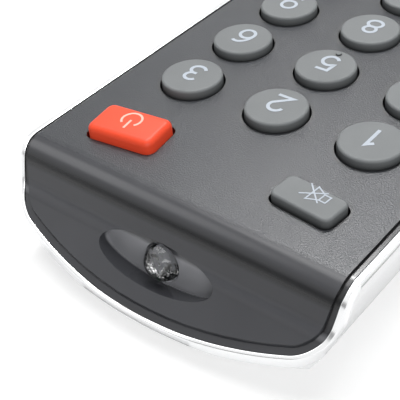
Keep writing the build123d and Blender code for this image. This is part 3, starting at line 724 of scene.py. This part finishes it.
def add_patch(bm, points, z, place):
    """A flat raised filled shape."""
    top = [bm.verts.new((*(place @ Vector((*q, 0)) * MM).xy, (z + INK_RISE) * MM))
           for q in points]
    low = [bm.verts.new((v.co.x, v.co.y, (z - INK_SINK) * MM)) for v in top]
    bm.faces.new(top)
    bm.faces.new(list(reversed(low)))
    for i in range(len(points)):
        j = (i + 1) % len(points)
        bm.faces.new((top[i], low[i], low[j], top[j]))


def legend(key, centre, shapes, material, turn=0.0, z=KEY_Z):
    """The printed sign of one key, from shapes of a kind (open, loop or fill), points and width."""
    place = Matrix.Translation((*centre, 0)) @ Matrix.Rotation(math.radians(turn), 4, "Z")
    bm = bmesh.new()
    for index, (kind, points, width) in enumerate(shapes):
        level = z + INK_STEP * index
        if kind == "fill":
            add_patch(bm, points, level, place)
        else:
            add_stroke(bm, points, width, kind == "loop", level, place)
    bmesh.ops.recalc_face_normals(bm, faces=bm.faces)
    mesh = bpy.data.meshes.new(f"{key}_sign")
    bm.to_mesh(mesh)
    bm.free()
    mesh.materials.append(material)
    sign = bpy.data.objects.new(f"{key}_sign", mesh)
    scene.collection.objects.link(sign)
    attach(sign, body_names[key])


def digit_shapes():
    """Strokes of the ten digits, about 2.6 wide and 3.8 high, centred on the origin."""
    w, h = 1.1, 1.7
    six = [("loop", ring(0, -0.62, w, 1.08), STROKE),
           ("open", arc(0.5, -0.5, 1.6, 2.2, 178, 66), STROKE)]
    nine = [(kind, [(-x, -y) for x, y in points], width) for kind, points, width in six]
    return {
        0: [("loop", stadium(w, h), STROKE)],
        1: [("open", [(-0.6, 1.0), (0.2, h), (0.2, -h)], STROKE)],
        2: [("open", arc(0, 0.65, 1.06, 1.05, 168, -28) + [(-w, -h), (w + 0.1, -h)], STROKE)],
        3: [("open", arc(0, 0.86, 0.92, 0.84, 155, -90) + [(-0.3, 0.02)], STROKE),
            ("open", [(-0.1, 0.02)] + arc(0, -0.82, 1.08, 0.88, 82, -158), STROKE)],
        4: [("open", [(0.45, -h), (0.45, h), (-w - 0.1, -0.8), (w + 0.1, -0.8)], STROKE)],
        5: [("open", [(0.95, h), (-0.85, h), (-1.0, 0.12)] + arc(-0.02, -0.6, 1.1, 1.1, 132, -150),
             STROKE)],
        6: six,
        7: [("open", [(-w, h), (w, h), (-0.35, -h)], STROKE)],
        8: [("loop", ring(0, 0.86, 0.92, 0.84), STROKE),
            ("loop", ring(0, -0.8, w, 0.9), STROKE)],
        9: nine,
    }


def power_shapes():
    return [("open", arc(0, 0, 1.35, 1.35, 133, 407, 36), 0.3),
            ("open", [(0, 0.15), (0, 1.95)], 0.3)]


def mute_shapes():
    speaker = [(-2.15, -0.58), (-1.25, -0.58), (0.15, -1.28), (0.15, 1.28), (-1.25, 0.58),
               (-2.15, 0.58)]
    return [("loop", speaker, FINE), ("open", [(-1.25, 0.58), (-1.25, -0.58)], FINE),
            ("open", [(-1.45, 1.08), (1.25, -1.28)], FINE),
            ("open", [(-1.45, -1.0), (1.33, 0.98)], FINE)]


def box_loop(x0, y0, x1, y1):
    return [(x0, y0), (x1, y0), (x1, y1), (x0, y1)]


def other_shapes():
    """Plain signs for the keys that are not digits."""
    lines = [("open", [(-1.3, y), (1.3, y)], 0.34) for y in (0.95, 0.0, -0.95)]
    return {
        "info_key": [("fill", ring(0, 1.35, 0.3, 0.3, 20), 0),
                     ("open", [(0, 0.7), (0, -1.6)], 0.46)],
        "source_key": [("open", [(-0.3, 1.3), (1.6, 1.3), (1.6, -1.3), (-0.3, -1.3)], 0.3),
                       ("open", [(-1.8, 0), (0.7, 0)], 0.3),
                       ("open", [(0.0, 0.65), (0.7, 0), (0.0, -0.65)], 0.3)],
        "volume_up_key": [("open", [(-1.3, 0), (1.3, 0)], 0.4),
                          ("open", [(0, -1.3), (0, 1.3)], 0.4)],
        "volume_down_key": [("open", [(-1.3, 0), (1.3, 0)], 0.4)],
        "list_key": [("open", [(-0.7, y), (1.6, y)], 0.3) for y in (1.1, 0.0, -1.1)]
                    + [("fill", ring(-1.5, y, 0.24, 0.24, 16), 0) for y in (1.1, 0.0, -1.1)],
        "picture_key": [("loop", box_loop(-1.8, -1.2, 1.8, 1.2), 0.3)],
        "channel_up_key": [("open", [(-1.3, -0.6), (0, 0.75), (1.3, -0.6)], 0.4)],
        "channel_down_key": [("open", [(-1.3, 0.6), (0, -0.75), (1.3, 0.6)], 0.4)],
        "ok_key": [("loop", ring(0, 0, 1.5, 1.5), 0.34)],
        "menu_key": lines,
        "home_key": [("open", [(-1.5, 0.1), (0, 1.35), (1.5, 0.1)], 0.3),
                     ("open", [(-1.0, 0.4), (-1.0, -1.2), (1.0, -1.2), (1.0, 0.4)], 0.3)],
        "back_key": [("open", arc(0.1, -0.1, 1.1, 0.75, -90, 90, 20) + [(-1.1, 0.65)], 0.3),
                     ("open", [(-0.45, 1.3), (-1.2, 0.65), (-0.45, 0.0)], 0.3)],
        "exit_key": [("open", [(-1.0, -1.0), (1.0, 1.0)], 0.34),
                     ("open", [(-1.0, 1.0), (1.0, -1.0)], 0.34)],
    }


def key_centres():
    """Where the signs of the keys that are not digits lie."""
    last_y = DIGIT_Y - 3 * ROW_PITCH
    return {
        "info_key": (-COLUMN_PITCH, last_y), "source_key": (COLUMN_PITCH, last_y),
        "volume_up_key": (-COLUMN_PITCH, LEVEL_Y),
        "volume_down_key": (-COLUMN_PITCH, LEVEL_Y - ROW_PITCH),
        "list_key": (0, LEVEL_Y), "picture_key": (0, LEVEL_Y - ROW_PITCH),
        "channel_up_key": (COLUMN_PITCH, LEVEL_Y),
        "channel_down_key": (COLUMN_PITCH, LEVEL_Y - ROW_PITCH), "ok_key": (0, PAD_Y),
        "menu_key": (-CORNER_X, PAD_Y + CORNER_Y), "home_key": (CORNER_X, PAD_Y + CORNER_Y),
        "back_key": (-CORNER_X, PAD_Y - CORNER_Y), "exit_key": (CORNER_X, PAD_Y - CORNER_Y),
    }


def make_legends():
    """All the signs. Digits lie a little towards the tail on their keys."""
    digit_behind = 0.6
    ink = ink_material("legend_ink", linear(176, 184, 194))
    warm_ink = ink_material("power_ink", linear(232, 188, 172))
    digits = digit_shapes()
    for value in range(10):
        row, column = divmod(value - 1, 3) if value else (3, 1)
        centre = ((column - 1) * COLUMN_PITCH, DIGIT_Y - row * ROW_PITCH - digit_behind)
        legend(f"digit_{value}_key", centre, digits[value], ink)
    legend("power_key", (13.36, 77.7), power_shapes(), warm_ink, POWER_KEY["turn"], POWER_Z)
    legend("mute_key", (-13.75, 77.0), mute_shapes(), ink, -5.5)
    centres = key_centres()
    for key, shapes in other_shapes().items():
        legend(key, centres[key], shapes, ink)
    arrow = [("fill", [(1.0, 0), (-0.7, 1.1), (-0.7, -1.1)], 0)]
    for turn, key in ((0, "right_key"), (90, "up_key"), (180, "left_key"), (270, "down_key")):
        angle = math.radians(turn)
        centre = (PETAL_MIDDLE * math.cos(angle), PAD_Y + PETAL_MIDDLE * math.sin(angle))
        legend(key, centre, arrow, ink, turn)


make_camera()
make_table()
make_room()
soft_light("overhead", (0.10, -0.14, 0.85), (0.0, 0.04, 0.0), (0.8, 0.6), 5.3)
soft_light("front", (-0.42, 0.40, 0.36), (0.0, 0.08, 0.0), (0.4, 0.3), 1.8)
soft_light("sheen", (0.21, -0.29, 0.56), (-0.015, 0.08, 0.0), (0.14, 0.14), 2.2)

# The case
chrome = chrome_material()
silver = silver_material()
wear("top_shell", face_material())
wear("chrome_trim", chrome)
make_trim(chrome)
wear("bottom_shell", silver)
wear("battery_cover", silver)

# The keys
# Painted glow: the red key has a faint emission, though it holds no lamp.
power_red = moulded("power_red", linear(218, 68, 34), (0.4, 0.5), 0.01, specular=0.3,
                    Emission_Color=linear(218, 74, 56), Emission_Strength=0.2).material
wear("power_key", power_red)
make_power_key(power_red)
colours = {"red_key": (205, 40, 36), "green_key": (44, 140, 70), "yellow_key": (232, 190, 40),
           "blue_key": (44, 84, 170)}
for key, shade in colours.items():
    wear(key, moulded(key.replace("_key", "_paint"), linear(*shade), (0.4, 0.5), 0.01).material)
key_grey = key_material()
for name in nodes:
    if name.endswith("_key") and name not in colours and name != "power_key":
        wear(name, key_grey)
make_legends()

# The inside
black = moulded("black_plastic", linear(30, 30, 32), (0.35, 0.5), 0.01).material
contact = metal("contact_steel", (0.76, 0.76, 0.75, 1.0), (0.25, 0.35)).material
inside = {
    "infrared_lamp": lamp_material(),
    "keypad_sheet": moulded("grey_rubber", linear(70, 72, 75), (0.6, 0.75), 0.02,
                            specular=0.3).material,
    "circuit_board": board_material(),
    "controller_chip": black, "driver_transistor": black, "chip_resistors": black,
    "ceramic_resonator": moulded("resonator_ceramic", linear(196, 118, 48), (0.3, 0.4),
                                 0.01).material,
    "filter_capacitor": moulded("capacitor_can", linear(28, 44, 96), (0.25, 0.35),
                                0.006).material,
    "battery_a": cell_material("battery_a", True), "battery_b": cell_material("battery_b", False),
    "positive_contact": contact, "negative_contact": contact, "link_contact": contact,
    "case_screws": metal("screw_steel", (0.6, 0.6, 0.62, 1.0), (0.3, 0.4)).material,
}
for name, material in inside.items():
    wear(name, material)
